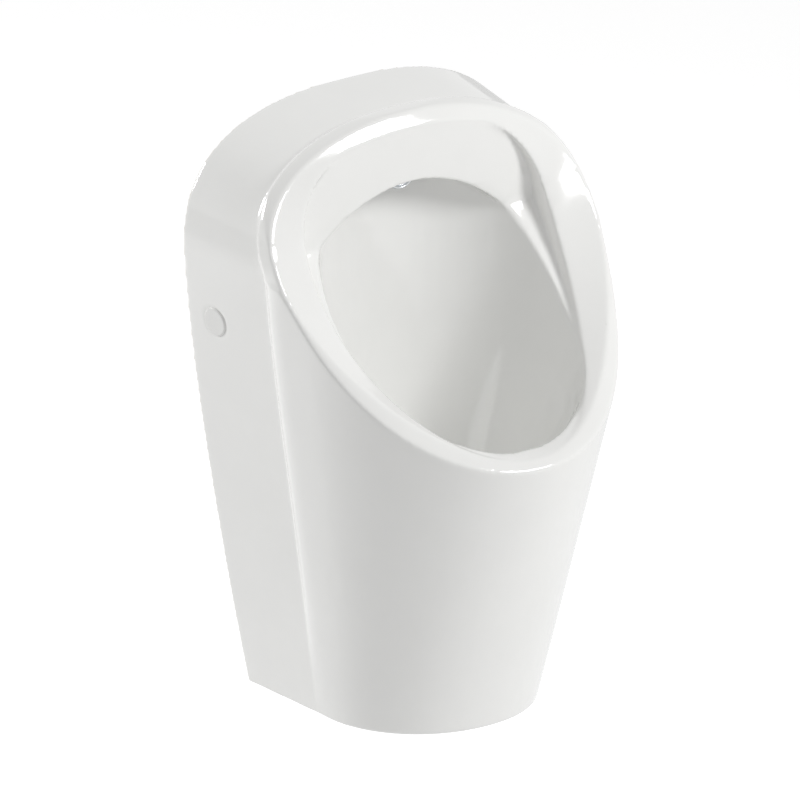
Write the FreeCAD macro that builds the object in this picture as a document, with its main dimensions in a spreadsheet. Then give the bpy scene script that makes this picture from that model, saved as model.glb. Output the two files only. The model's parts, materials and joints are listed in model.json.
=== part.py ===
import FreeCAD, Part
import math
import os
import Sketcher

Vector = FreeCAD.Vector
Rotation = FreeCAD.Rotation
Placement = FreeCAD.Placement

# Driving dimensions in millimetres.
# Heights are above the underside of the ceramic, depths are in front of the wall.
SIZES = {
    # outer form of the ceramic
    "body_height": 565.0,
    "foot_half_width": 109.0,
    "shoulder_half_width": 181.5,
    "shoulder_height": 440.0,
    "flank_draft": 4.0,
    "flank_hollow": 5.0,
    "crease_depth": 104.0,
    "crease_lean": 12.0,
    "crease_valley": 7.5,
    "crease_run": 14.0,
    "foot_reach": 71.0,
    "shoulder_depth": 364.0,
    "shell_wall": 12.0,
    "bowl_wall": 11.0,
    # rim face, from the rounded outer edge to the mouth of the bowl
    "rim_inset": 11.5,
    "rim_drop": 3.5,
    "rim_widest": 455.0,
    "rim_lip": 287.0,
    "rim_top_depth": 95.0,
    "rim_lip_depth": 303.0,
    "rim_margin": 32.0,
    "edge_inset": 2.0,
    "edge_drop": 1.0,
    "edge_widest": 452.0,
    "edge_lip": 279.0,
    "edge_top_depth": 85.0,
    "edge_lip_depth": 312.5,
    "collar_step": 24.0,
    "collar_run": 20.0,
    "collar_top_land": 4.0,
    "collar_lip_land": 61.0,
    "mouth_inset": 48.5,
    "mouth_drop": 14.0,
    "mouth_widest": 446.0,
    "mouth_lip": 288.0,
    "mouth_top_depth": 102.0,
    "mouth_lip_depth": 299.0,
    "mouth_margin": 14.0,
    # bowl, hood and the pocket behind it
    "bowl_floor": 150.0,
    "bowl_floor_radius": 46.0,
    "bowl_inset": 57.5,
    "bowl_widest": 452.0,
    "bowl_back_depth": 58.0,
    "bowl_front_depth": 318.0,
    "hood_depth": 104.0,
    "hood_curtain": 12.0,
    "hood_drop": 70.0,
    "hood_spring": 400.0,
    "hood_bend": 453.0,
    "top_reach": 176.0,
    "pocket_below": 19.0,
    "pocket_half_width": 44.0,
    "pocket_back_depth": 54.0,
    "pocket_above": 33.0,
    # side fixing
    "fixing_height": 375.0,
    "fixing_depth": 37.0,
    "cap_radius": 14.0,
    "cap_thick": 2.5,
    "cap_seat": 1.5,
    "cap_gap": 0.3,
    "cap_bevel": 1.0,
    "cap_skirt_radius": 10.2,
    "cap_skirt_wall": 1.6,
    "cap_skirt_length": 2.1,
    "screw_radius": 4.0,
    "screw_length": 27.0,
    "screw_head_radius": 7.0,
    "screw_head_thick": 3.5,
    "screw_seat_wall": 4.5,
    "screw_seat_gap": 0.05,
    "screw_hole_radius": 5.0,
    "screw_key_radius": 2.9,
    "screw_key_length": 2.2,
    "thread_gap": 0.05,
    "bush_radius": 8.0,
    "bush_length": 8.0,
    "bracket_thick": 4.0,
    "bracket_half_height": 32.0,
    "bracket_reach": 60.0,
    "bracket_plate_width": 75.5,
    "wall_hole_radius": 4.25,
    "wall_hole_inset": 53.5,
    "wall_hole_spacing": 40.0,
    "nut_radius": 7.5,
    "nut_thick": 6.5,
    # flush inlet
    "inlet_drop": 66.0,
    "spray_radius": 15.0,
    "spray_length": 32.0,
    "spray_tail_radius": 10.0,
    "spray_tail_end": 22.0,
    "spray_bore_radius": 7.0,
    "spray_hole_radius": 11.0,
    "spray_bevel": 3.0,
    "spray_end_wall": 5.0,
    "spray_slot_width": 4.0,
    "gasket_thick": 2.0,
    "spray_nut_radius": 18.0,
    "spray_nut_thick": 8.0,
    "inlet_radius": 18.0,
    "inlet_pipe_radius": 13.0,
    "inlet_socket": 18.0,
    "inlet_seal_length": 6.0,
    "inlet_length": 30.0,
    # drain
    "drain_depth": 150.0,
    "drain_hole_radius": 25.0,
    "waste_flange_radius": 38.0,
    "waste_flange_thick": 5.0,
    "waste_tail_radius": 22.0,
    "waste_bore_radius": 18.5,
    "waste_gasket_thick": 2.5,
    "waste_nut_radius": 36.0,
    "waste_nut_thick": 10.0,
    "strainer_radius": 30.0,
    "strainer_gap": 0.3,
    "strainer_thick": 2.5,
    "strainer_hole_radius": 2.6,
    "strainer_ring_radius": 23.0,
    "strainer_inner_radius": 14.0,
    "strainer_neck_radius": 3.0,
    "strainer_knob_radius": 5.0,
    "strainer_knob_height": 9.0,
    # trap and outlet
    "trap_radius": 38.0,
    "trap_wall": 3.0,
    "trap_foot": 30.0,
    "trap_top": 94.0,
    "trap_collar_radius": 28.0,
    "trap_collar_top": 112.0,
    "trap_seal_thick": 4.0,
    "trap_nut_radius": 36.0,
    "trap_nut_foot": 103.0,
    "trap_nut_lip": 3.0,
    "dip_tube_radius": 19.5,
    "dip_tube_foot": 15.0,
    "dip_flange_thick": 2.0,
    "cup_radius": 42.0,
    "cup_foot": 4.0,
    "cup_top": 44.0,
    "cup_bore_radius": 34.0,
    "fit_gap": 0.25,
    "outlet_height": 70.0,
    "outlet_radius": 20.0,
    "outlet_wall": 1.8,
    "outlet_clear": 2.0,
    "spigot_step": 0.3,
    "socket_radius": 23.8,
    "socket_reach": 58.0,
    "outlet_insert": 6.0,
    "trap_socket_start": 20.0,
    "outlet_nut_radius": 31.0,
    "outlet_nut_overlap": 12.0,
}

# Curve shapes, as plain exponents and shares.
FLANK_POWER = 1.33
FOOT_FRONT_POWER = 2.1
SHOULDER_FRONT_POWER = 1.93
TOP_POWER = 2.5
RIM_SHAPE = (2.08, 1.76, 0.3, 1.9)
MOUTH_SHAPE = (2.4, 2.2, 0.15, 2.4)
RIM_FACE_WAY = (1.0, 0.75, 0.25, -0.25, -0.5, 1.0)
EDGE_SPAN = (-0.7, 2.6)
COLLAR_SPAN = (0.0, 1.6)
BOWL_FLOOR_POWER, BOWL_WIDE_POWER = 2.0, 2.4
BOWL_WIDTH_POWER, BOWL_FRONT_POWER, BOWL_BACK_POWER = 1.1, 0.75, 0.5
HOOD_POWER = 1.8
BAND_POWER = 1.5
SECTION_SHARES = (0.0, 0.3, 0.6, 0.82, 1.0)
BOWL_SHARES = (0.0, 0.06, 0.18, 0.36, 0.58, 0.8, 1.0)
CURVE_STEPS = 12
OVERRUN = 6.0

doc = FreeCAD.newDocument("urinal")
sheet = doc.addObject("Spreadsheet::Sheet", "sizes")
for row, (alias, value) in enumerate(SIZES.items(), start=1):
    sheet.set("A%d" % row, alias)
    sheet.set("B%d" % row, str(value))
    sheet.setAlias("B%d" % row, alias)
doc.recompute()

NODES = []


def size(alias):
    """A driving dimension, read from the sheet."""
    return float(sheet.get(alias))


def below_top(alias):
    """Height of what lies that driving dimension below the top of the body."""
    return size("body_height") - size(alias)


def inside(alias):
    """Half width of what lies that driving dimension inside the shoulder of the body."""
    return size("shoulder_half_width") - size(alias)


def at(x, depth, height):
    """Point from its side offset, its depth in front of the wall and its height above the underside."""
    return Vector(x, -depth, height - size("fixing_height"))


def blend(start, end, share):
    return start + (end - start) * share


def signed_power(value, power):
    return math.copysign(abs(value) ** power, value)


def spline(points):
    curve = Part.BSplineCurve()
    curve.interpolate(points)
    return curve.toShape()


def closed_spline(points):
    curve = Part.BSplineCurve()
    curve.interpolate(points, PeriodicFlag=True)
    return Part.Wire([curve.toShape()])


def prism(wire, direction):
    return Part.Face(wire).extrude(direction)


# Outer form of the ceramic


def flank_half_width(share):
    """Half width at the wall, growing from the foot to an upright shoulder."""
    narrowing = max(1.0 - share, 0.0) ** FLANK_POWER
    return blend(size("shoulder_half_width"), size("foot_half_width"), narrowing)


def valley(share):
    """How far the front stands out from the crease: nothing at the foot, most at the shoulder."""
    return size("crease_valley") * (1 - (1 - max(share, 0.0)) ** 2)


def flank_inset(share):
    """How far the flank closes in between the wall and the crease."""
    return size("flank_draft") + size("flank_hollow") * math.sin(math.pi * max(share, 0.0)) + valley(share)


def outer_section(share, inset, back_depth):
    """Level section: straight back, drafted flanks to the crease, rounded front standing out from it."""
    height = share * size("shoulder_height")
    wall_half = flank_half_width(share)
    crease_depth = size("crease_depth") + size("crease_lean") * share
    crease_half = wall_half - flank_inset(share) - inset
    foot_depth = size("drain_depth") + size("foot_reach")
    front = blend(foot_depth, size("shoulder_depth"), share) - inset
    power = blend(FOOT_FRONT_POWER, SHOULDER_FRONT_POWER, share)
    front_half = crease_half + valley(share)
    front_start = crease_depth + size("crease_run")
    curve = [at(-crease_half, crease_depth, height)]
    for step in range(-CURVE_STEPS, CURVE_STEPS + 1):
        angle = step * math.pi / 2 / CURVE_STEPS
        x = front_half * signed_power(math.sin(angle), 2 / power)
        reach = (front - front_start) * math.cos(angle) ** (2 / power) if abs(step) < CURVE_STEPS else 0.0
        curve.append(at(x, front_start + reach, height))
    curve.append(at(crease_half, crease_depth, height))
    slope = flank_inset(share) / crease_depth
    back_half = wall_half - inset - slope * back_depth
    corners = at(-back_half, back_depth, height), at(back_half, back_depth, height)
    edges = [Part.makeLine(corners[0], curve[0]), spline(curve)]
    edges += [Part.makeLine(curve[-1], corners[1]), Part.makeLine(corners[1], corners[0])]
    return Part.Wire(edges)


def top_section(depth, inset, taper):
    """Upright section of the arched top, closing in by its taper on the way to the crease."""
    draft = taper * depth / (size("crease_depth") + size("crease_lean"))
    half = size("shoulder_half_width") - draft - inset
    foot = size("shoulder_height")
    rise = size("body_height") - foot - draft - inset
    curve = []
    for step in range(2 * CURVE_STEPS + 1):
        angle = step * math.pi / 2 / CURVE_STEPS
        x = half * signed_power(math.cos(angle), 2 / TOP_POWER)
        height = foot + rise * abs(math.sin(angle)) ** (2 / TOP_POWER)
        curve.append(at(x, depth, height))
    curve[0] = at(half, depth, foot)
    curve[-1] = at(-half, depth, foot)
    return Part.Wire([spline(curve), Part.makeLine(curve[-1], curve[0])])


def outer_form(inset, below, back_depth, taper):
    """Whole outer form, drawn in by an inset and lengthened below and behind for a hollow."""
    shares = (SECTION_SHARES[0] - below / size("shoulder_height"),) + SECTION_SHARES[1:]
    lower = Part.makeLoft([outer_section(share, inset, back_depth) for share in shares], True, False)
    top_front = size("top_reach")
    arches = [top_section(depth, inset, taper) for depth in (back_depth, top_front)]
    upper = Part.makeLoft(arches, True, True)
    return lower.fuse(upper).removeSplitter()


# Rim and bowl


def oval(half_width, top, widest, low, upper_power, lower_power, depth_of):
    """Points of an egg-shaped line that is seen from the front, with its depth from its height."""
    points = []
    for step in range(4 * CURVE_STEPS):
        angle = (step + 0.5) * math.pi / 2 / CURVE_STEPS
        rise = math.sin(angle)
        power = upper_power if rise > 0 else lower_power
        reach = top - widest if rise > 0 else widest - low
        x = half_width * signed_power(math.cos(angle), 2 / power)
        height = widest + reach * signed_power(rise, 2 / power)
        points.append(at(x, depth_of(height), height))
    return points


def depth_law(top, low, top_depth, low_depth, linear_share, power):
    """Depth along a rim line: steep under the top, running forward to the lip."""
    def depth_of(height):
        fall = max(0.0, (top - height) / (top - low))
        return blend(top_depth, low_depth, linear_share * fall + (1 - linear_share) * fall ** power)
    return depth_of


def rim_sizes(name):
    """Half width, top, widest and lip height, and top and lip depth of a rim line."""
    heights = [below_top(name + "_drop"), size(name + "_widest"), size(name + "_lip")]
    return [inside(name + "_inset")] + heights + [size(name + "_top_depth"), size(name + "_lip_depth")]


def rim_line(sizes, shape):
    """Closed line round the rim."""
    half, top, widest, lip, top_depth, lip_depth = sizes
    upper_power, lower_power, linear_share, depth_power = shape
    law = depth_law(top, lip, top_depth, lip_depth, linear_share, depth_power)
    points = oval(half, top, widest, lip, upper_power, lower_power, law)
    curve = Part.BSplineCurve()
    curve.interpolate(Points=points, PeriodicFlag=True, Parameters=[float(i) for i in range(len(points) + 1)])
    return curve.toShape()


def carried(name, distance):
    """Sizes of a rim line that is carried on along the rim face, outwards or, below zero, inwards."""
    return [value + share * distance for value, share in zip(rim_sizes(name), RIM_FACE_WAY)]


def between(name, other, share):
    """Sizes of a line on the way from one rim line to another, or past them."""
    return [blend(start, end, share) for start, end in zip(rim_sizes(name), rim_sizes(other))]


def swept_forward(face):
    """Solid that a face sweeps when it moves up and forward, clear of the ceramic."""
    solid = face.extrude(Vector(0, -1.3 * size("shoulder_depth"), below_top("rim_drop") - size("rim_lip")))
    return solid if solid.Volume > 0 else solid.reversed()


def rim_tool():
    """The rim face, carried on past both of its edges, and all the space in front of it."""
    beyond = rim_line(carried("rim", size("rim_margin")), RIM_SHAPE)
    within = rim_line(carried("mouth", -size("mouth_margin")), MOUTH_SHAPE)
    face = Part.makeRuledSurface(beyond, within)
    return swept_forward(face).fuse(swept_forward(Part.makeFilledFace([within])))


def edge_tool():
    """Bevel that rounds the outer edge of the rim off, from the rim face to the flank."""
    inner, outer = (rim_line(between("rim", "edge", share), RIM_SHAPE) for share in EDGE_SPAN)
    return swept_forward(Part.makeRuledSurface(outer, inner))


def collar():
    """Space in front of the ledge behind the rim, which runs out into the crease at the shoulder."""
    step, run = size("collar_step"), size("collar_run")
    lands = (0.0, 0.0, 0.0, 0.0, size("collar_top_land"), size("collar_lip_land"))
    edge = [value - land for value, land in zip(rim_sizes("edge"), lands)]
    neck = [value - drop for value, drop in zip(edge, (step, step, 0.0, 0.0, run, run))]
    inner, outer = (rim_line([blend(near, far, share) for near, far in zip(neck, edge)], RIM_SHAPE)
                    for share in COLLAR_SPAN)
    ledge = swept_forward(Part.makeRuledSurface(outer, inner))
    return ledge.fuse(swept_forward(Part.makeFilledFace([inner])))


def bowl_section(share, grow):
    """Level section of the bowl, round at the floor and squarer where it is widest."""
    height = blend(size("bowl_floor"), size("bowl_widest"), share)
    if share == 0.0:
        height -= grow
    swell = math.sin(share * math.pi / 2)
    half = blend(size("bowl_floor_radius"), inside("bowl_inset"), swell ** BOWL_WIDTH_POWER) + grow
    floor_front = size("drain_depth") + size("bowl_floor_radius")
    floor_back = size("drain_depth") - size("bowl_floor_radius")
    front = blend(floor_front, size("bowl_front_depth"), swell ** BOWL_FRONT_POWER) + grow
    back = blend(floor_back, size("bowl_back_depth"), swell ** BOWL_BACK_POWER) - grow
    power = blend(BOWL_FLOOR_POWER, BOWL_WIDE_POWER, share)
    points = []
    for step in range(4 * CURVE_STEPS):
        angle = (step + 0.5) * math.pi / 2 / CURVE_STEPS
        x = half * signed_power(math.cos(angle), 2 / power)
        depth = (front + back) / 2 + (front - back) / 2 * signed_power(math.sin(angle), 2 / power)
        points.append(at(x, depth, height))
    return closed_spline(points)


def hood_arch(grow):
    """Space under the arched lower edge of the hood, through the whole depth."""
    half = inside("bowl_inset") + 1.0 + grow
    rise = below_top("hood_drop") - size("hood_spring") + grow
    curve = []
    for step in range(2 * CURVE_STEPS + 1):
        angle = step * math.pi / 2 / CURVE_STEPS
        x = half * signed_power(math.cos(angle), 2 / HOOD_POWER)
        height = size("hood_spring") + rise * abs(math.sin(angle)) ** (2 / HOOD_POWER)
        curve.append(at(x, -OVERRUN, height))
    foot = size("bowl_floor") - grow - OVERRUN
    curve[0] = at(half, -OVERRUN, size("hood_spring"))
    curve[-1] = at(-half, -OVERRUN, size("hood_spring"))
    corners = at(-half, -OVERRUN, foot), at(half, -OVERRUN, foot)
    edges = [spline(curve), Part.makeLine(curve[-1], corners[0])]
    edges += [Part.makeLine(corners[0], corners[1]), Part.makeLine(corners[1], curve[0])]
    return prism(Part.Wire(edges), Vector(0, -1.4 * size("shoulder_depth"), 0))


def mouth_depth():
    return depth_law(below_top("mouth_drop"), size("mouth_lip"), size("mouth_top_depth"),
                     size("mouth_lip_depth"), MOUTH_SHAPE[2], MOUTH_SHAPE[3])


def hood_front(grow):
    """Space in front of the hood and inside the band that runs round the mouth and dies out at the lip."""
    outline = oval(inside("mouth_inset") + grow, below_top("mouth_drop") + grow, size("mouth_widest"),
                   size("mouth_lip") - grow, MOUTH_SHAPE[0], MOUTH_SHAPE[1], lambda height: 0.0)
    reach = 1.4 * size("shoulder_depth")
    column = prism(closed_spline(outline), Vector(0, -reach, 0))
    curtain = size("hood_curtain") if grow else 0.0
    side = -2 * size("shoulder_half_width")
    ceiling = size("body_height") + OVERRUN
    bend = size("hood_bend")
    lip = size("mouth_lip")
    depth_of = mouth_depth()
    band = depth_of(bend) - size("hood_depth")
    back_line = []
    for step in range(CURVE_STEPS + 1):
        share = 1 - step / CURVE_STEPS
        height = blend(lip, bend, share)
        depth = depth_of(height) - band * share ** BAND_POWER - curtain
        back_line.append(at(side, depth, height))
    corners = [back_line[-1], at(side, reach, lip), at(side, reach, ceiling)]
    corners += [at(side, size("hood_depth") - curtain, ceiling), back_line[0]]
    edges = [spline(back_line)] + [Part.makeLine(*pair) for pair in zip(corners, corners[1:])]
    slab = prism(Part.Wire(edges), Vector(-2 * side, 0, 0))
    return column.common(slab)


def hood_pocket(grow):
    """Room behind the hood for the spray head."""
    half = size("pocket_half_width") + grow
    back = size("pocket_back_depth") - grow
    front = size("hood_depth") - size("hood_curtain") + grow
    inlet_height = below_top("inlet_drop")
    foot = inlet_height - size("pocket_below") - grow
    top = inlet_height + size("pocket_above") + grow
    return Part.makeBox(2 * half, front - back, top - foot, at(-half, front, foot))


def bowl_space(grow):
    """The bowl under the hood, its pocket and the front of the hood, grown by the wall for the outside."""
    round_part = Part.makeLoft([bowl_section(share, grow) for share in BOWL_SHARES], True, False)
    upright = prism(bowl_section(1.0, grow), Vector(0, 0, size("body_height") - size("bowl_widest")))
    deep = round_part.fuse(upright).common(hood_arch(grow))
    return deep, hood_pocket(grow), hood_front(grow)


def flank_frame(side):
    """Frame on the outside of a flank at its fixing hole: Z outwards, X towards the front."""
    share = size("fixing_height") / size("shoulder_height")
    step = 0.01
    rise = 2 * step * size("shoulder_height")

    def half_at(part, depth):
        crease = size("crease_depth") + size("crease_lean") * part
        return flank_half_width(part) - flank_inset(part) * depth / crease

    depth = size("fixing_depth")
    upward = Vector(side * (half_at(share + step, depth) - half_at(share - step, depth)), 0, rise)
    forward = Vector(side * (half_at(share, depth + 1.0) - half_at(share, depth)), -1.0, 0)
    outward = upward.cross(forward)
    if outward.x * side < 0:
        outward = outward.negative()
    origin = at(side * half_at(share, depth), depth, size("fixing_height"))
    return Placement(origin, Rotation(forward, outward.cross(forward), outward, "ZXY"))


def upright_cylinder(radius, low, high, depth):
    return Part.makeCylinder(radius, high - low, at(0, depth, low))


def level_cylinder(radius, back, front, height):
    return Part.makeCylinder(radius, front - back, at(0, back, height), Vector(0, -1, 0))


def fixing_holes(side):
    """Cap seat, screw head recess and screw hole through a flank."""
    frame = flank_frame(side)
    seat = size("cap_seat")
    recess = size("shell_wall") - size("screw_seat_wall")
    tools = [
        (size("cap_radius") + size("cap_gap"), -seat, OVERRUN),
        (size("cap_skirt_radius") + size("cap_gap"), -recess, OVERRUN),
        (size("screw_hole_radius"), -size("shell_wall") - OVERRUN, OVERRUN),
    ]
    shapes = []
    for radius, low, high in tools:
        cylinder = Part.makeCylinder(radius, high - low, Vector(0, 0, low))
        cylinder.Placement = frame.multiply(cylinder.Placement)
        shapes.append(cylinder)
    return shapes


def ceramic_shape():
    """The fired piece, cut on one half and mirrored."""
    reach = 2 * size("body_height")
    half_space = Part.makeBox(reach, 2 * reach, 2 * reach, Vector(0, -reach, -reach))

    def halved(shape):
        return shape.common(half_space)

    wall = size("bowl_wall")
    rim = halved(rim_tool())
    edge = halved(edge_tool())
    taper = flank_inset(1.0)
    proud = halved(outer_form(0.0, 0.0, 0.0, size("flank_draft"))).cut(rim).cut(edge)
    plain = halved(outer_form(0.0, 0.0, 0.0, taper)).cut(rim).cut(edge)
    blank = plain.fuse(proud.common(halved(collar())))
    hollow = halved(outer_form(size("shell_wall"), OVERRUN, -OVERRUN, taper))
    hollow = hollow.cut(rim.translated(Vector(0, wall, -wall)))
    for space in bowl_space(wall):
        hollow = hollow.cut(halved(space))
    for space in bowl_space(0.0):
        blank = blank.cut(halved(space))
    floor = size("bowl_floor")
    drain = upright_cylinder(size("drain_hole_radius"), floor - 2 * wall, floor + OVERRUN,
                             size("drain_depth"))
    back = size("pocket_back_depth")
    inlet = level_cylinder(size("spray_hole_radius"), back - 2 * wall, back + OVERRUN,
                           below_top("inlet_drop"))
    half = blank.cut(hollow).cut(fixing_holes(1) + [drain, inlet])
    return half.fuse(half.mirror(Vector(0, 0, 0), Vector(1, 0, 0)))


# Sizes of the fittings, bound to the sheet

FROM_WALL = Rotation(Vector(0, 0, 1), Vector(0, -1, 0))


def measure(text):
    """Value of a sum of driving dimensions, such as "trap_top - trap_foot"."""
    total = 0.0
    sign = 1.0
    for word in text.split():
        if word in "+-":
            sign = 1.0 if word == "+" else -1.0
        else:
            total += sign * size(word)
    return total


def bound(text):
    """The same sum as an expression on the sheet."""
    return " ".join(word if word in "+-" else "sizes." + word for word in text.split())


def upright(depth, height):
    """Frame with its Z axis up."""
    return Placement(at(0, measure(depth), measure(height)), Rotation())


def level(depth, height):
    """Frame with its Z axis away from the wall."""
    return Placement(at(0, measure(depth), measure(height)), FROM_WALL)


def below_flank(side, depth_text):
    """Flank frame moved into the flank."""
    return flank_frame(side).multiply(Placement(Vector(0, 0, -measure(depth_text)), Rotation()))


def origin_plane(body, role):
    return [feature for feature in body.Origin.OriginFeatures if feature.Role == role][0]


def turned(label, frame, profile):
    """Body of revolution about its own Z axis; the profile lists radius and height as sums of sizes."""
    body = doc.addObject("PartDesign::Body", label)
    body.Label = label
    sketch = body.newObject("Sketcher::SketchObject", label + "_profile")
    sketch.AttachmentSupport = [(origin_plane(body, "XZ_Plane"), "")]
    sketch.MapMode = "FlatFace"
    points = [Vector(measure(radius) if radius else 0, measure(height) if height else 0, 0)
              for radius, height in profile]
    count = len(points)
    for index in range(count):
        sketch.addGeometry(Part.LineSegment(points[index], points[(index + 1) % count]))
    for index in range(count):
        sketch.addConstraint(Sketcher.Constraint("Coincident", index, 2, (index + 1) % count, 1))
    for index, place in enumerate(profile):
        for kind, axis, text, value in (("DistanceX", -2, place[0], points[index].x),
                                        ("DistanceY", -1, place[1], points[index].y)):
            if text:
                number = sketch.addConstraint(Sketcher.Constraint(kind, -1, 1, index, 1, value))
                sketch.setExpression("Constraints[%d]" % number, bound(text))
            else:
                sketch.addConstraint(Sketcher.Constraint("PointOnObject", index, 1, axis))
    spin = body.newObject("PartDesign::Revolution", label + "_turn")
    spin.Profile = sketch
    spin.ReferenceAxis = (sketch, ["V_Axis"])
    spin.Angle = 360.0
    body.Placement = frame
    return body


def ring(label, frame, inner, outer, length):
    return turned(label, frame, [(inner, ""), (outer, ""), (outer, length), (inner, length)])


def primitive(kind, label, frame, **sizes):
    """Part primitive whose sizes are sums of driving dimensions."""
    item = doc.addObject("Part::" + kind, label)
    for name, text in sizes.items():
        item.setExpression(name, bound(text))
    item.Placement = frame
    return item


def combined(kind, label, base, tool):
    item = doc.addObject("Part::" + kind, label)
    item.Label = label
    item.Base = base
    item.Tool = tool
    return item


def hexagon(label, frame, radius, length):
    item = primitive("Prism", label, frame, Circumradius=radius, Height=length)
    item.Polygon = 6
    return item


def hex_nut(label, frame, radius, bore, length):
    blank = hexagon(label + "_blank", frame, radius, length)
    hole = primitive("Cylinder", label + "_bore", frame, Radius=bore, Height=length)
    return combined("Cut", label, blank, hole)


def keep(item):
    NODES.append(item)


# The ceramic

ceramic = doc.addObject("Part::Feature", "ceramic_body")
ceramic.Label = "ceramic_body"
ceramic.Shape = ceramic_shape()
keep(ceramic)


# Side fixing: bracket on the wall, bush, screw, nut and cap on each side

BUSH_END = "shell_wall + fit_gap + bush_length"
FLANGE_END = BUSH_END + " + bracket_thick"
SCREW_SEAT = "shell_wall - screw_seat_wall - screw_seat_gap"


def bracket(label, side):
    """Steel angle: a plate on the wall and a flange along the inside of the flank."""
    flange_frame = below_flank(side, FLANGE_END)
    start = Vector(-measure("fixing_depth + bracket_reach"), -size("bracket_half_height"), 0)
    flange = primitive("Box", label + "_flange", flange_frame.multiply(Placement(start, Rotation())),
                       Length="bracket_reach + bracket_reach",
                       Width="bracket_half_height + bracket_half_height", Height="bracket_thick")
    plate_left = inside("bracket_plate_width") if side > 0 else -size("shoulder_half_width")
    corner = at(plate_left, size("bracket_thick"), measure("fixing_height - bracket_half_height"))
    plate = primitive("Box", label + "_plate", Placement(corner, Rotation()),
                      Length="bracket_plate_width", Width="bracket_thick",
                      Height="bracket_half_height + bracket_half_height")
    angle = combined("Fuse", label + "_angle", plate, flange)
    span = 2 * size("shoulder_half_width")
    outside = doc.addObject("Part::Box", label + "_outside")
    outside.Length = outside.Width = outside.Height = span
    corner = Placement(Vector(-span / 2, -span / 2, 0), Rotation())
    outside.Placement = below_flank(side, BUSH_END).multiply(corner)
    behind = doc.addObject("Part::Box", label + "_behind")
    behind.Length = behind.Width = behind.Height = span
    behind.Placement = Placement(Vector(-span / 2, 0, -span / 2), Rotation())
    angle = combined("Cut", label + "_trimmed", angle, outside)
    angle = combined("Cut", label + "_squared", angle, behind)
    hole = primitive("Cylinder", label + "_screw_hole", below_flank(side, FLANGE_END),
                     Radius="screw_radius + fit_gap", Height="bracket_thick")
    angle = combined("Cut", label + "_bored", angle, hole)
    for share in (-0.5, 0.5):
        height = size("fixing_height") + share * size("wall_hole_spacing")
        place = Placement(at(side * inside("wall_hole_inset"), 0, height), FROM_WALL)
        name = "%s_wall_hole_%s" % (label, "low" if share < 0 else "high")
        hole = primitive("Cylinder", name, place, Radius="wall_hole_radius", Height="bracket_thick")
        angle = combined("Cut", label + ("_low" if share < 0 else ""), angle, hole)
    return angle


for side_name, side in (("left", -1), ("right", 1)):
    keep(bracket("wall_bracket_" + side_name, side))
    keep(ring("lock_bush_" + side_name, below_flank(side, BUSH_END), "screw_radius + fit_gap", "bush_radius",
              "bush_length"))
    keep(hex_nut("bracket_nut_" + side_name, below_flank(side, FLANGE_END + " + nut_thick"), "nut_radius",
                 "screw_radius + thread_gap", "nut_thick"))
    shank = turned("lock_screw_shank_" + side_name,
                   below_flank(side, SCREW_SEAT + " + screw_length"),
                   [("", ""), ("screw_radius", ""), ("screw_radius", "screw_length"),
                    ("screw_head_radius", "screw_length"),
                    ("screw_head_radius", "screw_length + screw_head_thick"),
                    ("", "screw_length + screw_head_thick")])
    key = hexagon("lock_screw_key_" + side_name,
                  below_flank(side, SCREW_SEAT + " - screw_head_thick + screw_key_length"),
                  "screw_key_radius", "screw_key_length")
    keep(combined("Cut", "lock_screw_" + side_name, shank, key))
    skirt_bore = "cap_skirt_radius - cap_skirt_wall"
    keep(turned("side_cap_" + side_name, below_flank(side, "cap_seat + cap_skirt_length"),
                [(skirt_bore, ""), ("cap_skirt_radius", ""), ("cap_skirt_radius", "cap_skirt_length"),
                 ("cap_radius", "cap_skirt_length"),
                 ("cap_radius", "cap_skirt_length + cap_thick - cap_bevel"),
                 ("cap_radius - cap_bevel", "cap_skirt_length + cap_thick"),
                 ("", "cap_skirt_length + cap_thick"), ("", "cap_skirt_length"),
                 (skirt_bore, "cap_skirt_length")]))


# Flush inlet: spray head in the back of the hood pocket, with its seals, nut and pipe connector

INLET_HEIGHT = "body_height - inlet_drop"
SPRAY_SEAT = "pocket_back_depth + gasket_thick"
SPRAY_TAIL = SPRAY_SEAT + " - spray_tail_end"
SPRAY_FRONT = SPRAY_TAIL + " + spray_length"
spray_blank = turned("spray_blank", level("spray_tail_end", INLET_HEIGHT), [
    ("spray_bore_radius", ""), ("spray_tail_radius", ""), ("spray_tail_radius", SPRAY_TAIL),
    ("spray_radius", SPRAY_TAIL), ("spray_radius", SPRAY_FRONT + " - spray_bevel"),
    ("spray_radius - spray_bevel", SPRAY_FRONT), ("", SPRAY_FRONT), ("", SPRAY_FRONT + " - spray_end_wall"),
    ("spray_bore_radius", SPRAY_FRONT + " - spray_end_wall")])
slot_corner = at(-size("spray_radius"), measure(SPRAY_SEAT + " + spray_length - spray_end_wall"),
                 measure(INLET_HEIGHT + " - spray_radius"))
spray_slot = primitive("Box", "spray_slot", Placement(slot_corner, Rotation()),
                       Length="spray_radius + spray_radius", Width="spray_slot_width", Height="spray_radius")
keep(combined("Cut", "spray_head", spray_blank, spray_slot))
BACK_FACE = "pocket_back_depth - bowl_wall"
keep(ring("spray_gasket", level("pocket_back_depth", INLET_HEIGHT), "spray_tail_radius + fit_gap",
          "spray_radius", "gasket_thick"))
keep(ring("spray_back_gasket", level(BACK_FACE + " - gasket_thick", INLET_HEIGHT),
          "spray_tail_radius + fit_gap", "spray_nut_radius", "gasket_thick"))
keep(hex_nut("spray_lock_nut", level(BACK_FACE + " - gasket_thick - spray_nut_thick", INLET_HEIGHT),
             "spray_nut_radius", "spray_tail_radius + thread_gap", "spray_nut_thick"))
keep(ring("inlet_seal", Placement(at(0, 0, below_top("inlet_drop")), FROM_WALL), "inlet_pipe_radius",
          "inlet_radius", "inlet_seal_length"))
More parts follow.
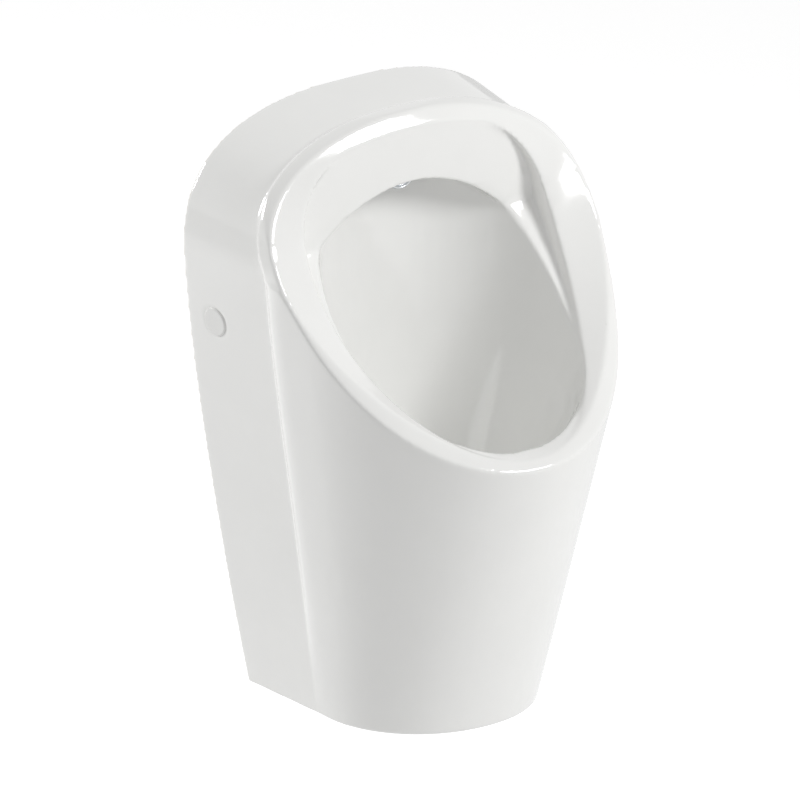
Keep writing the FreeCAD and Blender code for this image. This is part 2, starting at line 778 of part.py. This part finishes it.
keep(turned("inlet_connector", level("inlet_seal_length", INLET_HEIGHT), [
    ("inlet_pipe_radius", ""), ("inlet_radius", ""), ("inlet_radius", "inlet_length - inlet_seal_length"),
    ("spray_tail_radius + thread_gap", "inlet_length - inlet_seal_length"),
    ("spray_tail_radius + thread_gap", "inlet_socket - inlet_seal_length"),
    ("inlet_pipe_radius", "inlet_socket - inlet_seal_length")]))


# Drain: flange clamped through the bowl floor, with the strainer in it

TAIL_END = "trap_top + dip_flange_thick"
FLANGE_SEAT = "bowl_floor + waste_gasket_thick"
TAIL = FLANGE_SEAT + " - trap_top - dip_flange_thick"
FLANGE_TOP = TAIL + " + waste_flange_thick"
SEAT = FLANGE_TOP + " - strainer_thick"
keep(ring("waste_gasket", upright("drain_depth", "bowl_floor"), "waste_tail_radius + fit_gap",
          "waste_flange_radius", "waste_gasket_thick"))
keep(turned("waste_flange", upright("drain_depth", TAIL_END), [
    ("waste_bore_radius", ""), ("waste_tail_radius", ""), ("waste_tail_radius", TAIL),
    ("waste_flange_radius", TAIL), ("waste_flange_radius", FLANGE_TOP),
    ("strainer_radius + strainer_gap", FLANGE_TOP), ("strainer_radius + strainer_gap", SEAT),
    ("waste_bore_radius", SEAT)]))
UNDER_FLOOR = "bowl_floor - bowl_wall - waste_gasket_thick"
keep(ring("waste_lower_gasket", upright("drain_depth", UNDER_FLOOR), "waste_tail_radius + fit_gap",
          "waste_flange_radius", "waste_gasket_thick"))
keep(hex_nut("waste_lock_nut", upright("drain_depth", UNDER_FLOOR + " - waste_nut_thick"), "waste_nut_radius",
             "waste_tail_radius + thread_gap", "waste_nut_thick"))


def strainer():
    """Sieve disc with a lifting knob and two rings of holes."""
    frame = upright("drain_depth", FLANGE_SEAT + " + waste_flange_thick - strainer_thick")
    knob_top = "strainer_thick + strainer_knob_height"
    body = turned("strainer", frame, [
        ("", ""), ("strainer_radius", ""), ("strainer_radius", "strainer_thick"),
        ("strainer_neck_radius", "strainer_thick"), ("strainer_knob_radius", knob_top), ("", knob_top)])
    doc.recompute()
    rings = (("outer", "strainer_ring_radius", 14), ("inner", "strainer_inner_radius", 8))
    for name, ring_radius, count in rings:
        sketch = body.newObject("Sketcher::SketchObject", "strainer_%s_hole" % name)
        sketch.AttachmentSupport = [(origin_plane(body, "XY_Plane"), "")]
        sketch.MapMode = "FlatFace"
        centre = Vector(size(ring_radius), 0, 0)
        sketch.addGeometry(Part.Circle(centre, Vector(0, 0, 1), size("strainer_hole_radius")))
        sketch.addConstraint(Sketcher.Constraint("PointOnObject", 0, 3, -1))
        bindings = (("DistanceX", (-1, 1, 0, 3), ring_radius), ("Radius", (0,), "strainer_hole_radius"))
        for kind, place, text in bindings:
            number = sketch.addConstraint(Sketcher.Constraint(kind, *place, size(text)))
            sketch.setExpression("Constraints[%d]" % number, bound(text))
        pocket = body.newObject("PartDesign::Pocket", "strainer_%s_pocket" % name)
        pocket.Profile = sketch
        pocket.Type = "ThroughAll"
        pocket.Midplane = True
        pattern = body.newObject("PartDesign::PolarPattern", "strainer_%s_pattern" % name)
        pattern.Originals = [pocket]
        pattern.Axis = (sketch, ["N_Axis"])
        pattern.Angle = 360.0
        pattern.Occurrences = count
        body.Tip = pattern
        doc.recompute()
    return body


keep(strainer())


# Trap and outlet

TRAP_RISE = "trap_top - trap_foot"
COLLAR_RISE = "trap_collar_top - trap_foot"
trap_shell = turned("trap_shell", upright("drain_depth", "trap_foot"), [
    ("trap_radius - trap_wall", ""), ("trap_radius", ""), ("trap_radius", TRAP_RISE),
    ("trap_collar_radius", TRAP_RISE), ("trap_collar_radius", COLLAR_RISE),
    ("waste_tail_radius + fit_gap", COLLAR_RISE), ("waste_tail_radius + fit_gap", TRAP_RISE),
    ("dip_tube_radius + fit_gap", TRAP_RISE), ("dip_tube_radius + fit_gap", TRAP_RISE + " - trap_wall"),
    ("trap_radius - trap_wall", TRAP_RISE + " - trap_wall")])
SOCKET_MOUTH = "drain_depth - socket_reach"
trap_socket = primitive("Cylinder", "trap_socket", level(SOCKET_MOUTH, "outlet_height"),
                        Radius="socket_radius", Height="socket_reach - trap_socket_start")
trap_bore = primitive("Cylinder", "trap_bore", level(SOCKET_MOUTH, "outlet_height"),
                      Radius="outlet_radius + fit_gap", Height="socket_reach")
dip_room = primitive("Cylinder", "dip_room", upright("drain_depth", "trap_foot"),
                     Radius="trap_radius - trap_wall", Height=TRAP_RISE + " - trap_wall")
socket_outside = combined("Cut", "socket_outside", trap_socket, dip_room)
trap_joined = combined("Fuse", "trap_joined", trap_shell, socket_outside)
keep(combined("Cut", "trap_body", trap_joined, trap_bore))
DIP_RISE = "trap_top - dip_tube_foot"
keep(turned("trap_dip_tube", upright("drain_depth", "dip_tube_foot"), [
    ("dip_tube_radius - trap_wall", ""), ("dip_tube_radius", ""), ("dip_tube_radius", DIP_RISE),
    ("waste_tail_radius", DIP_RISE), ("waste_tail_radius", DIP_RISE + " + dip_flange_thick"),
    ("dip_tube_radius - trap_wall", DIP_RISE + " + dip_flange_thick")]))
keep(ring("trap_inlet_seal", upright("drain_depth", "trap_collar_top"), "waste_tail_radius + fit_gap",
          "trap_collar_radius", "trap_seal_thick"))
NUT_LIP = "trap_collar_top + trap_seal_thick - trap_nut_foot"
NUT_TOP = NUT_LIP + " + trap_nut_lip"
keep(turned("trap_inlet_nut", upright("drain_depth", "trap_nut_foot"), [
    ("trap_collar_radius + fit_gap", ""), ("trap_nut_radius", ""), ("trap_nut_radius", NUT_TOP),
    ("waste_tail_radius + fit_gap", NUT_TOP), ("waste_tail_radius + fit_gap", NUT_LIP),
    ("trap_collar_radius + fit_gap", NUT_LIP)]))
CUP_RISE = "cup_top - cup_foot"
CUP_SEAT = "trap_foot - trap_seal_thick - cup_foot"
keep(turned("trap_cup", upright("drain_depth", "cup_foot"), [
    ("", ""), ("cup_radius", ""), ("cup_radius", CUP_RISE), ("trap_radius + fit_gap", CUP_RISE),
    ("trap_radius + fit_gap", CUP_SEAT), ("cup_bore_radius", CUP_SEAT), ("cup_bore_radius", "trap_wall"),
    ("", "trap_wall")]))
keep(ring("trap_cup_seal", upright("drain_depth", "trap_foot - trap_seal_thick"), "cup_bore_radius",
          "trap_radius", "trap_seal_thick"))
OUTLET_NUT_START = SOCKET_MOUTH + " - trap_seal_thick - trap_nut_lip"
FREE_PIPE = OUTLET_NUT_START + " - outlet_clear"
WHOLE_PIPE = SOCKET_MOUTH + " + outlet_insert"
keep(turned("outlet_pipe", Placement(at(0, 0, size("outlet_height")), FROM_WALL), [
    ("outlet_radius - outlet_wall", ""), ("outlet_radius", ""), ("outlet_radius", FREE_PIPE),
    ("outlet_radius - spigot_step", FREE_PIPE), ("outlet_radius - spigot_step", WHOLE_PIPE),
    ("outlet_radius - outlet_wall", WHOLE_PIPE)]))
keep(ring("outlet_seal", level(SOCKET_MOUTH + " - trap_seal_thick", "outlet_height"),
          "outlet_radius + fit_gap", "socket_radius", "trap_seal_thick"))
OUTLET_NUT_END = "trap_nut_lip + trap_seal_thick + outlet_nut_overlap"
keep(turned("outlet_nut", level(OUTLET_NUT_START, "outlet_height"), [
    ("outlet_radius + fit_gap", ""), ("outlet_nut_radius", ""), ("outlet_nut_radius", OUTLET_NUT_END),
    ("socket_radius + fit_gap", OUTLET_NUT_END), ("socket_radius + fit_gap", "trap_nut_lip"),
    ("outlet_radius + fit_gap", "trap_nut_lip")]))


# Check everything, then write the files

doc.recompute()
for item in doc.Objects:
    if "Invalid" in item.State or "Error" in item.State:
        raise RuntimeError("%s failed: %s" % (item.Name, item.State))
for item in NODES:
    if item.Shape.isNull() or not item.Shape.isValid():
        raise RuntimeError("%s has no valid shape" % item.Label)
os.makedirs("parts", exist_ok=True)
for item in NODES:
    item.Shape.exportStep("parts/%s.step" % item.Label)
    print("%-22s %d solid(s) %10.1f mm3" % (item.Label, len(item.Shape.Solids), item.Shape.Volume))
for side in (-1, 1):
    frame = flank_frame(side)
    print("fixing axis", frame.Base, frame.Rotation.multVec(Vector(0, 0, 1)))
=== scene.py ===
import json
import math

import bmesh
import bpy
from mathutils import Matrix, Vector


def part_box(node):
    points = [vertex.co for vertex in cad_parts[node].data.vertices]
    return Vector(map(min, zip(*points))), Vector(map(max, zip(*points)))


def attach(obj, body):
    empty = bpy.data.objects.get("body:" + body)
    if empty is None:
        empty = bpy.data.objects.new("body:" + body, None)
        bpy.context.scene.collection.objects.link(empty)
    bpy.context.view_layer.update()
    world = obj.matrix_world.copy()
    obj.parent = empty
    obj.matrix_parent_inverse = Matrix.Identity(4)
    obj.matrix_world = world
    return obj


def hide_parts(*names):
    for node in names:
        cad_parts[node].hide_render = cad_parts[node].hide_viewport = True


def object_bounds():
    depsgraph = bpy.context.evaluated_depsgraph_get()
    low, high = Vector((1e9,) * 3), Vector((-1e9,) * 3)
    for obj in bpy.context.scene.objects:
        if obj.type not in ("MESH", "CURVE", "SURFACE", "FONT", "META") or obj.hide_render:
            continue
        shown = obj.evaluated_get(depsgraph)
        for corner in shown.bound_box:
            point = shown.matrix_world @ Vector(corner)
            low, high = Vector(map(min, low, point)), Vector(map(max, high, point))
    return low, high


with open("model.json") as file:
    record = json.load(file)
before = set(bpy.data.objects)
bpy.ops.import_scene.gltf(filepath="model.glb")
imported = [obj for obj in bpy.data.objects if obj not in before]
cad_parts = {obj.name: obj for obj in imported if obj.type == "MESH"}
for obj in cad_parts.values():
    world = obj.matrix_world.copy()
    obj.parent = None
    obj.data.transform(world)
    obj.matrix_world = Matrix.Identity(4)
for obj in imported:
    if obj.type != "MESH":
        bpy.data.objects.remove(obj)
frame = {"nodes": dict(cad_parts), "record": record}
cad_low, cad_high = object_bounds()
nodes = frame["nodes"]
record = frame["record"]
body_of_node = {name: body for body, names in record["behaviour"]["bodies"].items() for name in names}
slot_of_node = {part["node"]: part["material_slot"] for part in record["subparts"]}

MM = 0.001
FULL_TURN = 2 * math.pi
UPRIGHT = Vector((0, 0, 1))
LEVEL = Vector((0, 1, 0))

# Points of a CAD mesh that lie closer than this are one point.
MERGE_DISTANCE = 0.02 * MM

# China shell: the grid on which it is cast, the strength and number of the rounds that ease its edges,
# and about how many triangles it keeps.
CAST_GRID = 1.6 * MM
EASING_STRENGTH = 0.5
EASING_ROUNDS = 14
CHINA_TRIANGLES = 190000

# Bend of the hood's face beside the opening: its height under the top, the stretch that is softened,
# the most that a normal's Y may be for its point to count as facing forward, and the rounds of softening.
BEND_BELOW_TOP = 112 * MM
BEND_REACH = 24 * MM
BEND_DEPTHS = (90 * MM, 135 * MM)
BEND_FACING = -0.5
BEND_ROUNDS = 60

# Edge easing of the fittings in millimetres, from the way each is made.
PAIRED_EDGES_MM = {
    "wall_bracket": 0.8, "bracket_nut": 0.5, "lock_screw": 0.35, "lock_bush": 0.5, "side_cap": 0.9,
}
SINGLE_EDGES_MM = {
    "spray_lock_nut": 0.8, "waste_lock_nut": 1.0, "waste_flange": 0.5, "strainer": 0.25,
    "inlet_connector": 0.7, "trap_inlet_nut": 0.9, "outlet_nut": 0.9, "trap_cup": 1.2, "outlet_pipe": 0.4,
}
EDGE_STEPS = 2
SHARP_EDGE = math.radians(30)
FLAT_ENOUGH = math.radians(1)

# Finger ribs moulded round the plastic fittings: how far they stand out and how far their edges are eased.
RIB_STAND = 1.1 * MM
RIB_EASE = 0.5 * MM
# For each fitting, the axis that its ribs follow, their number, their width and their share of its length.
FINGER_RIBS = {
    "trap_inlet_nut": (UPRIGHT, 24, 3.0 * MM, 0.74),
    "outlet_nut": (LEVEL, 24, 2.6 * MM, 0.74),
    "trap_cup": (UPRIGHT, 18, 5.0 * MM, 0.6),
    "inlet_connector": (LEVEL, 12, 2.6 * MM, 0.7),
}

# Lip round the front of the spray head, with the steps round its section and round the head.
LIP_STAND = 1.8 * MM
LIP_LENGTH = 5.0 * MM
LIP_SECTION_STEPS = 16
LIP_TURN_STEPS = 64

# Pattern sizes in millimetres. The frost is finer in truth, and is drawn as coarse as it needs to show.
GLAZE_CLOUD_MM = 60
GLAZE_PEEL_MM = 9
ZINC_CRYSTAL_MM = 7
ZINC_FROST_MM = 1.5
WATER_MARK_MM = 6
CHROME_FILM_MM = 25

# The glaze gives way to bare clay between these two places along Y, just in front of the wall.
GLAZE_END = -1.8 * MM
CLAY_START = -1.0 * MM
CLAY_ROUGHNESS = 0.8

# Room: the underside's height above the floor, half the floor's width in metres, the strength of the even
# light on the object, and the strength that shows as white.
UNDERSIDE_ABOVE_FLOOR = 370 * MM
FLOOR_HALF_WIDTH = 30.0
FILL_STRENGTH = 0.43
WHITE_STRENGTH = 1.0
# Share of the white surroundings and of the floor's glow that shows in reflections. With the floor's whole
# glow in it, the glaze's outline fades into the background.
MIRRORED_WHITE = 1.0
MIRRORED_FLOOR = 0.5
# For each lamp, its place and its width in metres and its power in watts.
LAMPS = {
    "key": ((1.3, -2.3, 1.7), 1.0, 45.0),
    "back": ((-1.5, 2.1, 0.9), 0.8, 36.0),
}

# Camera: a parallel view from the left and above, with lengths in metres.
VIEW_TURN = math.radians(-35.0)
VIEW_RISE = math.radians(20.9)
VIEW_WIDTH = 0.728
VIEW_CENTRE = Vector((0.0163, -0.0624, -0.1093))
VIEW_DISTANCE = 2.5


# Materials


def colour(code):
    """Linear colour from an sRGB hex code."""
    channels = [int(code[i:i + 2], 16) / 255 for i in (1, 3, 5)]
    return [c / 12.92 if c <= 0.04045 else ((c + 0.055) / 1.055) ** 2.4 for c in channels] + [1.0]


def node(tree, kind, settings=(), inputs=(), links=()):
    """Add a shader node with its settings, its constant inputs and its links."""
    made = tree.nodes.new("ShaderNode" + kind)
    for name, value in dict(settings).items():
        setattr(made, name, value)
    for name, value in dict(inputs).items():
        made.inputs[name].default_value = value
    for name, source in dict(links).items():
        tree.links.new(source, made.inputs[name])
    return made


def start(name, **constants):
    """New material with its principled shader, on which the constants are set."""
    material = bpy.data.materials.new(name)
    material.use_nodes = True
    tree = material.node_tree
    shader = tree.nodes["Principled BSDF"]
    for socket, value in constants.items():
        shader.inputs[socket.replace("_", " ")].default_value = value
    return material, tree, shader


def dress(tree, shader, **sources):
    """Link what varies over a surface to the shader's sockets."""
    for socket, source in sources.items():
        tree.links.new(source, shader.inputs[socket.replace("_", " ")])


def per_metre(size_mm):
    """Texture scale at which a pattern repeats about every size_mm."""
    return 1000.0 / size_mm


def vitreous_china():
    """China under a clear gloss glaze: white and faintly wavy, with bare cream clay along the wall."""
    material, tree, shader = start("glazed_vitreous_china", IOR=1.52, Coat_Weight=0.3, Coat_Roughness=0.02)
    place = node(tree, "TexCoord").outputs["Object"]
    cloud = node(tree, "TexNoise", {}, {"Scale": per_metre(GLAZE_CLOUD_MM), "Detail": 3.0}, {"Vector": place})
    peel = node(tree, "TexNoise", {}, {"Scale": per_metre(GLAZE_PEEL_MM), "Detail": 2.0}, {"Vector": place})
    glaze = node(tree, "Mix", {"data_type": "RGBA"}, {"A": colour("#F3F3F1"), "B": colour("#F8F8F6")},
                 {"Factor": cloud.outputs["Fac"]})
    depth = node(tree, "SeparateXYZ", {}, {}, {"Vector": place})
    bare = node(tree, "MapRange", {}, {"From Min": GLAZE_END, "From Max": CLAY_START},
                {"Value": depth.outputs["Y"]})
    tone = node(tree, "Mix", {"data_type": "RGBA"}, {"B": colour("#DDD4C4")},
                {"Factor": bare.outputs["Result"], "A": glaze.outputs["Result"]})
    gloss = node(tree, "MapRange", {}, {"To Min": 0.06, "To Max": 0.12}, {"Value": cloud.outputs["Fac"]})
    rough = node(tree, "Mix", {"data_type": "FLOAT"}, {"B": CLAY_ROUGHNESS},
                 {"Factor": bare.outputs["Result"], "A": gloss.outputs["Result"]})
    wave = node(tree, "Bump", {}, {"Strength": 0.05, "Distance": 0.1 * MM}, {"Height": cloud.outputs["Fac"]})
    skin = node(tree, "Bump", {}, {"Strength": 0.04, "Distance": 0.05 * MM},
                {"Height": peel.outputs["Fac"], "Normal": wave.outputs["Normal"]})
    dress(tree, shader, Base_Color=tone.outputs["Result"], Roughness=rough.outputs["Result"],
          Normal=skin.outputs["Normal"])
    return material


def grained(name, tones, grain_mm, roughness, bump_mm, **constants):
    """Surface whose colour, gloss and height follow one grain."""
    material, tree, shader = start(name, **constants)
    first, second = tones
    smooth, coarse = roughness
    place = node(tree, "TexCoord").outputs["Object"]
    grain = node(tree, "TexNoise", {}, {"Scale": per_metre(grain_mm), "Detail": 4.0}, {"Vector": place})
    tone = node(tree, "Mix", {"data_type": "RGBA"}, {"A": colour(first), "B": colour(second)},
                {"Factor": grain.outputs["Fac"]})
    rough = node(tree, "MapRange", {}, {"To Min": smooth, "To Max": coarse}, {"Value": grain.outputs["Fac"]})
    bump = node(tree, "Bump", {}, {"Strength": 0.3, "Distance": bump_mm * MM},
                {"Height": grain.outputs["Fac"]})
    dress(tree, shader, Base_Color=tone.outputs["Result"], Roughness=rough.outputs["Result"],
          Normal=bump.outputs["Normal"])
    return material


def galvanised_steel():
    """Hot-dipped zinc: frosty crystals a few millimetres wide, each with its own tone and gloss."""
    material, tree, shader = start("galvanised_steel", Metallic=1.0)
    place = node(tree, "TexCoord").outputs["Object"]
    crystal = node(tree, "TexVoronoi", {}, {"Scale": per_metre(ZINC_CRYSTAL_MM)}, {"Vector": place})
    frost = node(tree, "TexNoise", {}, {"Scale": per_metre(ZINC_FROST_MM), "Detail": 3.0}, {"Vector": place})
    draw = node(tree, "SeparateColor", {}, {}, {"Color": crystal.outputs["Color"]})
    tone = node(tree, "Mix", {"data_type": "RGBA"}, {"A": colour("#B4B9BD"), "B": colour("#DADDDF")},
                {"Factor": draw.outputs["Red"]})
    spread = node(tree, "Math", {"operation": "MULTIPLY"}, {},
                  {0: draw.outputs["Green"], 1: frost.outputs["Fac"]})
    rough = node(tree, "MapRange", {}, {"To Min": 0.26, "To Max": 0.55}, {"Value": spread.outputs["Value"]})
    bump = node(tree, "Bump", {}, {"Strength": 0.25, "Distance": 0.04 * MM}, {"Height": frost.outputs["Fac"]})
    dress(tree, shader, Base_Color=tone.outputs["Result"], Roughness=rough.outputs["Result"],
          Normal=bump.outputs["Normal"])
    return material


def chromed_brass():
    """Polished chrome plate with dried water marks that dull it in round spots."""
    material, tree, shader = start("chromed_brass", Metallic=1.0)
    place = node(tree, "TexCoord").outputs["Object"]
    marks = node(tree, "TexVoronoi", {}, {"Scale": per_metre(WATER_MARK_MM), "Randomness": 1.0},
                 {"Vector": place})
    film = node(tree, "TexNoise", {}, {"Scale": per_metre(CHROME_FILM_MM), "Detail": 3.0}, {"Vector": place})
    tone = node(tree, "Mix", {"data_type": "RGBA"}, {"A": colour("#E3E5E7"), "B": colour("#D4D7DA")},
                {"Factor": film.outputs["Fac"]})
    spot = node(tree, "MapRange", {}, {"From Min": 0.05, "From Max": 0.4, "To Min": 0.2, "To Max": 0.07},
                {"Value": marks.outputs["Distance"]})
    dress(tree, shader, Base_Color=tone.outputs["Result"], Roughness=spot.outputs["Result"])
    return material


# The moulded and turned grains are finer in truth, and are drawn as coarse as they need to show.
MATERIALS = {
    # gloss ABS: close to the glaze in colour, softer in its shine
    "white_cap": grained("moulded_white_abs", ("#F1F1EF", "#EBEBE9"), grain_mm=2.0, roughness=(0.16, 0.24),
                         bump_mm=0.03, IOR=1.53),
    # nylon: waxy and a little yellow, with a fine turned grain
    "nylon": grained("turned_nylon", ("#E8E4D6", "#DAD5C5"), grain_mm=1.0, roughness=(0.4, 0.5),
                     bump_mm=0.03, IOR=1.53),
    # machined brass: warm, with a satin turned face and darker handling
    "bare_brass": grained("machined_brass", ("#D9B868", "#BF994B"), grain_mm=3.0, roughness=(0.22, 0.4),
                          bump_mm=0.03, Metallic=1.0),
    # EPDM rubber: near black, dusty matt
    "seal_rubber": grained("moulded_epdm_rubber", ("#1B1B1B", "#2A2A29"), grain_mm=1.5, roughness=(0.6, 0.78),
                           bump_mm=0.05, IOR=1.5),
    # moulded polypropylene: satin white with a fine spark-eroded grain
    "white_polypropylene": grained("moulded_polypropylene", ("#E6E7E6", "#DADBDA"), grain_mm=1.2,
                                   roughness=(0.36, 0.5), bump_mm=0.05, IOR=1.49),
    "glazed_china": vitreous_china(),
    "zinc_steel": galvanised_steel(),
    "chrome_brass": chromed_brass(),
}


# Pieces


def merged_copy(name):
    """A CAD node's mesh as one joined surface."""
    form = bmesh.new()
    form.from_mesh(nodes[name].data)
    bmesh.ops.remove_doubles(form, verts=form.verts, dist=MERGE_DISTANCE)
    return form


def finished(form, name, of_node, replaced=()):
    """Object from a mesh that rides and is finished as a CAD node is."""
    mesh = bpy.data.meshes.new(name)
    form.to_mesh(mesh)
    form.free()
    mesh.shade_smooth()
    mesh.materials.append(MATERIALS[slot_of_node[of_node]])
    piece = bpy.data.objects.new(name, mesh)
    bpy.context.scene.collection.objects.link(piece)
    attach(piece, body_of_node[of_node])
    if replaced:
        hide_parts(*replaced)
    return piece


def settle(piece):
    """Make what the modifiers give the piece's own mesh."""
    mesh = bpy.data.meshes.new_from_object(piece.evaluated_get(bpy.context.evaluated_depsgraph_get()))
    piece.modifiers.clear()
    piece.data = mesh
    mesh.shade_smooth()


def soften_hood_bend(mesh):
    """Turn the fold across the hood's face, where it starts to lean out to the lip, into a round bend."""
    form = bmesh.new()
    form.from_mesh(mesh)
    bend = cad_high[2] - BEND_BELOW_TOP
    near, far = BEND_DEPTHS
    face = [point for point in form.verts
            if abs(point.co.z - bend) < BEND_REACH
            and near < -point.co.y < far
            and point.normal.y < BEND_FACING]
    for _ in range(BEND_ROUNDS):
        bmesh.ops.smooth_vert(form, verts=face, factor=EASING_STRENGTH, use_axis_x=False, use_axis_y=True,
                              use_axis_z=False)
    form.to_mesh(mesh)
    form.free()


def china_shell():
    """The china with the eased edges that glazing and firing give, cast from the shell's solid."""
    piece = finished(merged_copy("ceramic_body"), "china_shell", "ceramic_body", ["ceramic_body"])
    cast = piece.modifiers.new("cast", "REMESH")
    cast.mode = "VOXEL"
    cast.voxel_size = CAST_GRID
    settle(piece)
    ease = piece.modifiers.new("ease", "SMOOTH")
    ease.factor = EASING_STRENGTH
    ease.iterations = EASING_ROUNDS
    settle(piece)
    soften_hood_bend(piece.data)
    thin = piece.modifiers.new("thin", "DECIMATE")
    thin.ratio = CHINA_TRIANGLES / sum(len(face.vertices) - 2 for face in piece.data.polygons)
    settle(piece)


def eased_fitting(name, width_mm):
    """A fitting with the small rounded edges that its making leaves."""
    form = merged_copy(name)
    bmesh.ops.dissolve_limit(form, angle_limit=FLAT_ENOUGH, verts=form.verts, edges=form.edges)
    sharp = [edge for edge in form.edges if edge.is_manifold and edge.calc_face_angle() > SHARP_EDGE]
    bmesh.ops.bevel(form, geom=sharp, offset=width_mm * MM, offset_type="OFFSET", affect="EDGES",
                    segments=EDGE_STEPS, profile=0.5, material=-1, clamp_overlap=True)
    piece = finished(form, name + "_eased", name, [name])
    piece.data.set_sharp_from_angle(angle=SHARP_EDGE)
    even = piece.modifiers.new("even_shading", "WEIGHTED_NORMAL")
    even.keep_sharp = True


def finger_ribs(name, way, count, width, share):
    """Moulded ribs round a turned piece, along its axis, for a grip by hand."""
    low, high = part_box(name)
    turn = UPRIGHT.rotation_difference(way)
    across = turn @ Vector((1, 0, 0))
    radius = abs((high - low).dot(across)) / 2
    length = abs((high - low).dot(way)) * share
    form = bmesh.new()
    bmesh.ops.create_cube(form, size=1.0)
    bmesh.ops.scale(form, vec=(2 * RIB_STAND, width, length), verts=form.verts)
    bmesh.ops.bevel(form, geom=form.edges, offset=RIB_EASE, offset_type="OFFSET", affect="EDGES",
                    segments=EDGE_STEPS, profile=0.5, material=-1)
    bmesh.ops.translate(form, vec=(radius, 0, 0), verts=form.verts)
    bmesh.ops.spin(form, geom=form.verts[:] + form.edges[:] + form.faces[:], axis=UPRIGHT,
                   angle=FULL_TURN * (count - 1) / count, steps=count - 1, use_duplicate=True)
    bmesh.ops.transform(form, matrix=Matrix.Translation((low + high) / 2) @ turn.to_matrix().to_4x4(),
                        verts=form.verts)
    finished(form, name + "_ribs", name)


def spray_lip():
    """Rolled lip round the front edge of the spray head, which throws the water down the bowl."""
    low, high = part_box("spray_head")
    centre = (low + high) / 2
    radius = (high.x - low.x) / 2
    middle = Vector((radius, low.y + LIP_LENGTH / 2, centre.z))
    form = bmesh.new()
    bmesh.ops.create_circle(form, segments=LIP_SECTION_STEPS, radius=1.0)
    bmesh.ops.scale(form, vec=(LIP_STAND, LIP_LENGTH / 2, 1.0), verts=form.verts)
    bmesh.ops.translate(form, vec=middle, verts=form.verts)
    bmesh.ops.spin(form, geom=form.verts[:] + form.edges[:], cent=(0, middle.y, centre.z), axis=LEVEL,
                   angle=FULL_TURN, steps=LIP_TURN_STEPS, use_merge=True)
    bmesh.ops.recalc_face_normals(form, faces=form.faces)
    finished(form, "spray_head_lip", "spray_head")


# Room


def seen_rays(tree, mirrored):
    """1 on rays from the camera, mirrored on those that come by way of gloss or glass, and 0 on the rest."""
    path = node(tree, "LightPath").outputs
    either = node(tree, "Math", {"operation": "MAXIMUM"}, {},
                  {0: path["Is Glossy Ray"], 1: path["Is Transmission Ray"]})
    share = node(tree, "Math", {"operation": "MULTIPLY"}, {1: mirrored}, {0: either.outputs["Value"]})
    seen = node(tree, "Math", {"operation": "MAXIMUM"}, {},
                {0: path["Is Camera Ray"], 1: share.outputs["Value"]})
    return seen.outputs["Value"]


def pale_floor():
    """Wide pale floor under the object, with a glow that lifts it to white for the camera."""
    form = bmesh.new()
    bmesh.ops.create_grid(form, x_segments=1, y_segments=1, size=FLOOR_HALF_WIDTH)
    bmesh.ops.translate(form, verts=form.verts, vec=(0, 0, cad_low[2] - UNDERSIDE_ABOVE_FLOOR))
    mesh = bpy.data.meshes.new("floor")
    form.to_mesh(mesh)
    form.free()
    floor = bpy.data.objects.new("floor", mesh)
    bpy.context.scene.collection.objects.link(floor)
    paint, tree, shader = start("pale_floor", Base_Color=colour("#F4F4F4"), Roughness=0.9,
                                Emission_Color=colour("#B0B0B0"))
    dress(tree, shader, Emission_Strength=seen_rays(tree, MIRRORED_FLOOR))
    mesh.materials.append(paint)


def white_surroundings():
    """World that is white where it is seen and lights the object evenly."""
    world = bpy.data.worlds.new("studio")
    world.use_nodes = True
    tree = world.node_tree
    tree.nodes.clear()
    fill = node(tree, "Background", {}, {"Color": colour("#FFFFFF"), "Strength": FILL_STRENGTH})
    white = node(tree, "Background", {}, {"Color": colour("#FFFFFF"), "Strength": WHITE_STRENGTH})
    mix = node(tree, "MixShader", {}, {}, {"Fac": seen_rays(tree, MIRRORED_WHITE),
                                           1: fill.outputs["Background"], 2: white.outputs["Background"]})
    output = node(tree, "OutputWorld", {}, {}, {"Surface": mix.outputs["Shader"]})
    output.is_active_output = True
    bpy.context.scene.world = world


def lamps():
    """Soft round lamps, turned to the middle of the view."""
    for name, (place, width, power) in LAMPS.items():
        lamp = bpy.data.lights.new(name, "AREA")
        lamp.shape = "DISK"
        lamp.size = width
        lamp.energy = power
        stand = bpy.data.objects.new(name, lamp)
        stand.location = place
        stand.rotation_euler = (VIEW_CENTRE - Vector(place)).to_track_quat("-Z", "Y").to_euler()
        bpy.context.scene.collection.objects.link(stand)


def camera():
    """Parallel camera at the photograph's viewing angle."""
    backward = Vector((math.sin(VIEW_TURN) * math.cos(VIEW_RISE), -math.cos(VIEW_TURN) * math.cos(VIEW_RISE),
                       math.sin(VIEW_RISE)))
    lens = bpy.data.cameras.new("camera")
    lens.type = "ORTHO"
    lens.ortho_scale = VIEW_WIDTH
    eye = bpy.data.objects.new("camera", lens)
    eye.location = VIEW_CENTRE + backward * VIEW_DISTANCE
    eye.rotation_euler = backward.to_track_quat("Z", "Y").to_euler()
    bpy.context.scene.collection.objects.link(eye)
    bpy.context.scene.camera = eye


# The whole object in its room


for name, slot in slot_of_node.items():
    nodes[name].data.materials.clear()
    nodes[name].data.materials.append(MATERIALS[slot])

china_shell()
for kind, width_mm in PAIRED_EDGES_MM.items():
    for side in ("_left", "_right"):
        eased_fitting(kind + side, width_mm)
for name, width_mm in SINGLE_EDGES_MM.items():
    eased_fitting(name, width_mm)
for name, layout in FINGER_RIBS.items():
    finger_ribs(name, *layout)
spray_lip()

pale_floor()
white_surroundings()
lamps()
camera()
bpy.context.scene.view_settings.view_transform = "Standard"
